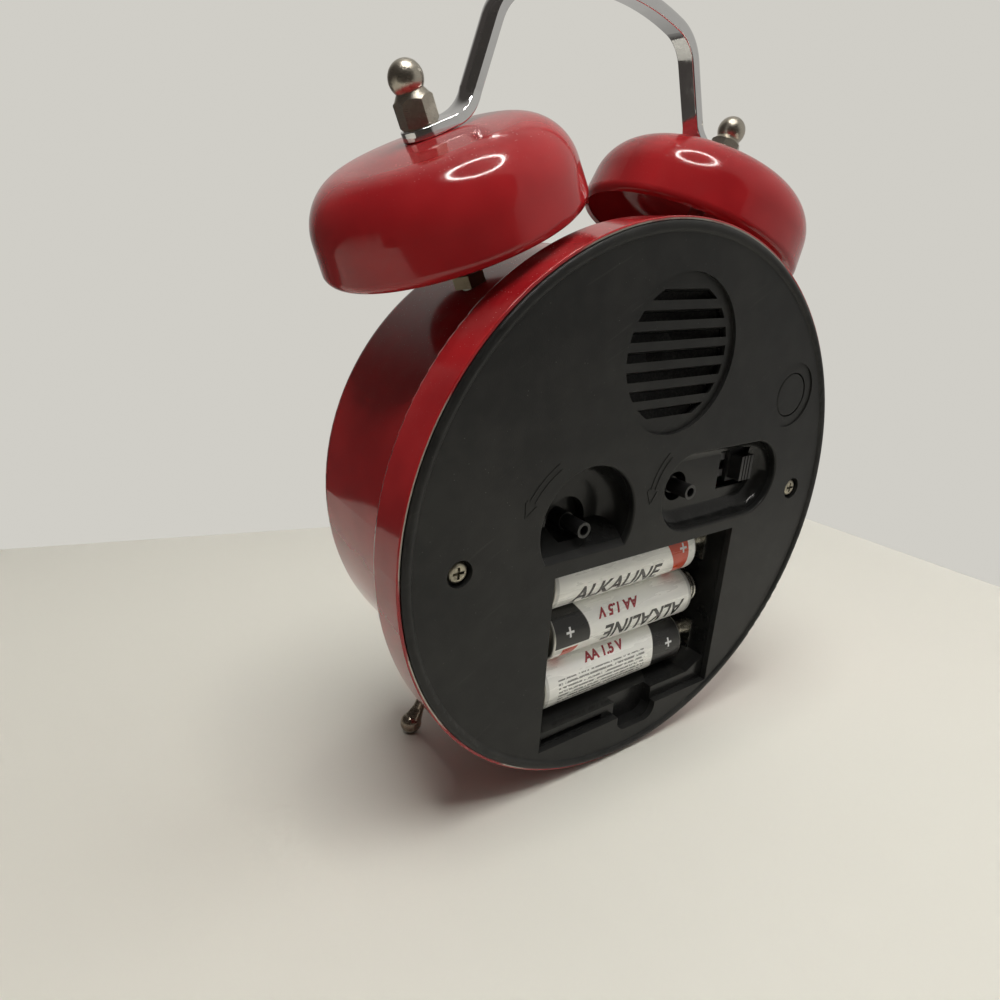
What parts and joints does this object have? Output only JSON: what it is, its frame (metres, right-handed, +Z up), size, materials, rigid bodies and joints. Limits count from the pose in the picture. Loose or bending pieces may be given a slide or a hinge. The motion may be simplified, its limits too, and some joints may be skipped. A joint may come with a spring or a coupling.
{
  "type": "twin-bell alarm clock",
  "caption": "Round table alarm clock with two bells and a carrying handle on top, ball feet, and a rear cover with speaker grille, setting wells and battery bay.",
  "frame": {"origin": "on the table, under the middle of the clock's bounding box", "axes": "+Z up, +Y towards the rear cover, +X to the right of someone who faces the dial; the case leans back, so its axis points up towards the front"},
  "size_m": [0.1354, 0.0722, 0.1858],
  "materials": {
    "red_enamel": "glossy enamel",
    "cover_plastic": "satin moulded plastic",
    "black_plastic": "moulded plastic",
    "chrome": "polished",
    "nickel": "satin nickel plate",
    "screw_steel": "yellow passivated",
    "steel": "bare",
    "sheet_steel": "grey primer",
    "brass": "bare",
    "lens_glass": "clear",
    "dial_print": "printed paper on aluminium",
    "hand_black": "black lacquer",
    "white_plastic": "moulded plastic",
    "grey_plastic": "moulded plastic",
    "board_green": "solder mask",
    "coil_copper": "enamelled wire",
    "paper_cone": "pressed paper",
    "magnet": "ferrite",
    "cell_jacket": "printed sleeve"
  },
  "bodies": {
    "case": {"ball_nuts": "nickel", "battery_bottom": "cell_jacket", "battery_middle": "cell_jacket", "battery_plates": "nickel", "battery_springs": "steel", "battery_top": "cell_jacket", "bell_left": "red_enamel", "bell_right": "red_enamel", "bell_studs": "steel", "board_components": "black_plastic", "board_screws": "steel", "case_drum": "red_enamel", "circuit_board": "board_green", "cover_brackets": "steel", "cover_screws": "screw_steel", "dial": "dial_print", "dial_frame": "grey_plastic", "dial_spacer": "white_plastic", "foot_nuts": "nickel", "front_feet": "nickel", "handle": "chrome", "lens": "lens_glass", "motor_coil": "coil_copper", "motor_stator": "steel", "movement_front": "grey_plastic", "movement_nut": "brass", "movement_rear": "grey_plastic", "rear_cover": "cover_plastic", "speaker_cone": "paper_cone", "speaker_frame": "sheet_steel", "speaker_magnet": "magnet", "stud_nuts": "nickel", "switch_body": "grey_plastic", "tact_switch": "black_plastic"},
    "minute": {"cannon_pinion": "brass", "minute_hand": "hand_black"},
    "hour": {"hour_wheel": "white_plastic", "hour_hand": "hand_black"},
    "motion": {"minute_wheel": "white_plastic"},
    "time_set": {"time_stem": "black_plastic"},
    "alarm": {"alarm_wheel": "white_plastic", "alarm_hand": "hand_black"},
    "alarm_set": {"alarm_stem": "black_plastic"},
    "second": {"second_wheel": "steel", "second_hand": "hand_black"},
    "button": {"push_button": "cover_plastic"},
    "switch": {"switch_lever": "black_plastic"}
  },
  "joints": [
    {"name": "minute_turn", "type": "hinge", "parent": "case", "child": "minute", "pos_m": [0, 0.02693, 0.06703], "axis": [0, 0.9914, -0.1305], "continuous": true},
    {"name": "hour_turn", "type": "hinge", "parent": "case", "child": "hour", "pos_m": [0, 0.02693, 0.06703], "axis": [0, 0.9914, -0.1305], "continuous": true},
    {"name": "motion_turn", "type": "hinge", "parent": "case", "child": "motion", "pos_m": [0.00972, 0.02767, 0.0727], "axis": [0, 0.9914, -0.1305], "continuous": true},
    {"name": "time_set_turn", "type": "hinge", "parent": "case", "child": "time_set", "pos_m": [0.01985, 0.02702, 0.06778], "axis": [0, 0.9914, -0.1305], "continuous": true},
    {"name": "alarm_turn", "type": "hinge", "parent": "case", "child": "alarm", "pos_m": [0, 0.02693, 0.06703], "axis": [0, 0.9914, -0.1305], "continuous": true},
    {"name": "alarm_set_turn", "type": "hinge", "parent": "case", "child": "alarm_set", "pos_m": [-0.0131, 0.02754, 0.07169], "axis": [0, 0.9914, -0.1305], "continuous": true},
    {"name": "second_turn", "type": "hinge", "parent": "case", "child": "second", "pos_m": [0, 0.02693, 0.06703], "axis": [0, 0.9914, -0.1305], "continuous": true},
    {"name": "button_press", "type": "slide", "parent": "case", "child": "button", "axis": [0, -0.9914, 0.1305], "range_m": [0, 0.0009], "stiffness_N_per_m": 600},
    {"name": "switch_slide", "type": "slide", "parent": "case", "child": "switch", "axis": [1, 0, 0], "range_m": [0, 0.006]}
  ],
  "couplings": [
    {"joint": "hour_turn", "follows": "minute_turn", "ratio": 0.083333},
    {"joint": "motion_turn", "follows": "minute_turn", "ratio": -0.33333},
    {"joint": "time_set_turn", "follows": "minute_turn", "ratio": 1},
    {"joint": "alarm_set_turn", "follows": "alarm_turn", "ratio": -4}
  ]
}
